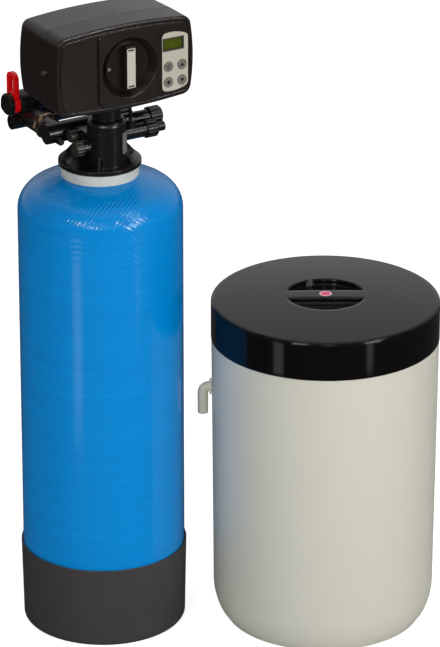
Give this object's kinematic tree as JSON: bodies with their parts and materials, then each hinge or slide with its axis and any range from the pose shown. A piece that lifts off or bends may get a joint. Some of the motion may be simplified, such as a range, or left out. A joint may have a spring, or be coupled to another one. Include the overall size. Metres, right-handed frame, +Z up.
{
  "type": "water softener",
  "caption": "Ion-exchange water softener: a wound resin vessel in a boot, a metered control valve with dial head and bypass, and a separate lidded brine tank.",
  "frame": {"origin": "on the resin vessel's axis, at the floor", "axes": "+Z up; the control head's front faces -Y and the pipe ports leave along +Y; +X runs to the right along the head's front, on the brine tank's side"},
  "size_m": [0.4994, 0.4298, 0.8195],
  "materials": {
    "blue_vessel": "gloss wound shell",
    "dark_plastic": "satin",
    "boot_grey": "matte",
    "cream_plastic": "satin",
    "lid_black": "gloss",
    "head_dark": "semi gloss",
    "panel_grey": "satin",
    "display_green": "gloss",
    "red_plastic": "semi gloss",
    "dot_red": "semi gloss",
    "strip_cream": "satin",
    "key_grey": "satin",
    "brass": "dull",
    "steel": "bright",
    "elbow_white": "satin",
    "white_plastic": "satin",
    "clear_grey": "satin",
    "resin_amber": "granular",
    "rubber_black": "matte",
    "gear_white": "satin",
    "board_green": "satin",
    "motor_steel": "satin",
    "frame_grey": "satin",
    "label_black": "satin"
  },
  "bodies": {
    "stand": {"vessel_boot": "boot_grey", "pressure_vessel": "blue_vessel", "neck_insert": "cream_plastic", "riser_tube": "white_plastic", "bottom_basket": "white_plastic", "top_basket": "white_plastic", "resin_bed": "resin_amber", "valve_body": "dark_plastic", "body_label": "label_black", "drain_nut": "dark_plastic", "drain_tail": "dark_plastic", "brine_nut": "dark_plastic", "brine_tail": "dark_plastic", "injector_cap": "dark_plastic", "refill_cap": "dark_plastic", "seal_stack": "rubber_black", "piston_plug": "dark_plastic", "manifold_screws": "steel", "port_clips": "steel", "bypass_unions": "brass", "bypass_body": "dark_plastic", "turbine_cage": "white_plastic", "back_plate": "dark_plastic", "drive_motor": "motor_steel", "front_cover": "head_dark", "rear_cover": "head_dark", "cover_screws": "steel", "cord_gland": "dark_plastic", "keypad_panel": "panel_grey", "display_frame": "frame_grey", "display": "display_green", "control_board": "board_green", "brine_tank": "cream_plastic", "overflow_elbow": "elbow_white", "overflow_nut": "white_plastic", "line_grommet": "rubber_black", "brine_well": "white_plastic", "safety_valve": "white_plastic", "salt_grid": "white_plastic"},
    "dial_train": {"dial": "head_dark", "dial_strip": "strip_cream", "drive_gear": "gear_white"},
    "motor_rotor": {"motor_pinion": "gear_white"},
    "piston_set": {"piston": "white_plastic", "piston_rack": "gear_white"},
    "brine_valve_stem": {"brine_stem": "steel"},
    "inlet_lever": {"inlet_handle": "red_plastic", "inlet_handle_cap": "dark_plastic"},
    "outlet_lever": {"outlet_handle": "red_plastic", "outlet_handle_cap": "dark_plastic"},
    "turbine": {"meter_turbine": "white_plastic"},
    "menu_button": {"menu_key": "key_grey"},
    "up_button": {"up_key": "key_grey"},
    "set_button": {"set_key": "key_grey"},
    "down_button": {"down_key": "key_grey"},
    "lid": {"tank_lid": "lid_black", "grip_dot": "dot_red"},
    "well_lid": {"well_cap": "white_plastic"},
    "float_set": {"brine_float": "white_plastic", "float_rod": "clear_grey"}
  },
  "joints": [
    {"name": "dial_turn", "type": "hinge", "parent": "stand", "child": "dial_train", "pos_m": [0.0107, -0.04, 0.7628], "axis": [0, -1, 0], "range_deg": [-80, 80]},
    {"name": "motor_turn", "type": "hinge", "parent": "stand", "child": "motor_rotor", "pos_m": [-0.03159, -0.03, 0.74741], "axis": [0, -1, 0], "range_deg": [-320.5, 320.5]},
    {"name": "piston_slide", "type": "slide", "parent": "stand", "child": "piston_set", "axis": [0, 0, 1], "range_m": [-0.0105, 0.0105]},
    {"name": "brine_valve_press", "type": "slide", "parent": "stand", "child": "brine_valve_stem", "axis": [0, 0, 1], "range_m": [-0.003, 0], "stiffness_N_per_m": 300, "springref_m": 0.001},
    {"name": "inlet_lever_turn", "type": "hinge", "parent": "stand", "child": "inlet_lever", "pos_m": [-0.062, 0.106, 0.678], "axis": [1, 0, 0], "range_deg": [-90, 0]},
    {"name": "outlet_lever_turn", "type": "hinge", "parent": "stand", "child": "outlet_lever", "pos_m": [0.062, 0.106, 0.678], "axis": [1, 0, 0], "range_deg": [-90, 0]},
    {"name": "turbine_spin", "type": "hinge", "parent": "stand", "child": "turbine", "pos_m": [0.045, 0.084, 0.66], "axis": [0, 1, 0], "continuous": true},
    {"name": "menu_press", "type": "slide", "parent": "stand", "child": "menu_button", "axis": [0, 1, 0], "range_m": [0, 0.0008], "stiffness_N_per_m": 500, "springref_m": -0.0004},
    {"name": "up_press", "type": "slide", "parent": "stand", "child": "up_button", "axis": [0, 1, 0], "range_m": [0, 0.0008], "stiffness_N_per_m": 500, "springref_m": -0.0004},
    {"name": "set_press", "type": "slide", "parent": "stand", "child": "set_button", "axis": [0, 1, 0], "range_m": [0, 0.0008], "stiffness_N_per_m": 500, "springref_m": -0.0004},
    {"name": "down_press", "type": "slide", "parent": "stand", "child": "down_button", "axis": [0, 1, 0], "range_m": [0, 0.0008], "stiffness_N_per_m": 500, "springref_m": -0.0004},
    {"name": "lid_lift", "type": "slide", "parent": "stand", "child": "lid", "axis": [0, 0, 1], "range_m": [0, 0.15]},
    {"name": "well_cap_lift", "type": "slide", "parent": "stand", "child": "well_lid", "axis": [0, 0, 1], "range_m": [0, 0.04]},
    {"name": "float_rise", "type": "slide", "parent": "stand", "child": "float_set", "axis": [0, 0, 1], "range_m": [0, 0.055]}
  ],
  "couplings": [
    {"joint": "motor_turn", "follows": "dial_turn", "ratio": -4},
    {"joint": "piston_slide", "follows": "dial_turn", "m_per_rad": -0.0075}
  ]
}
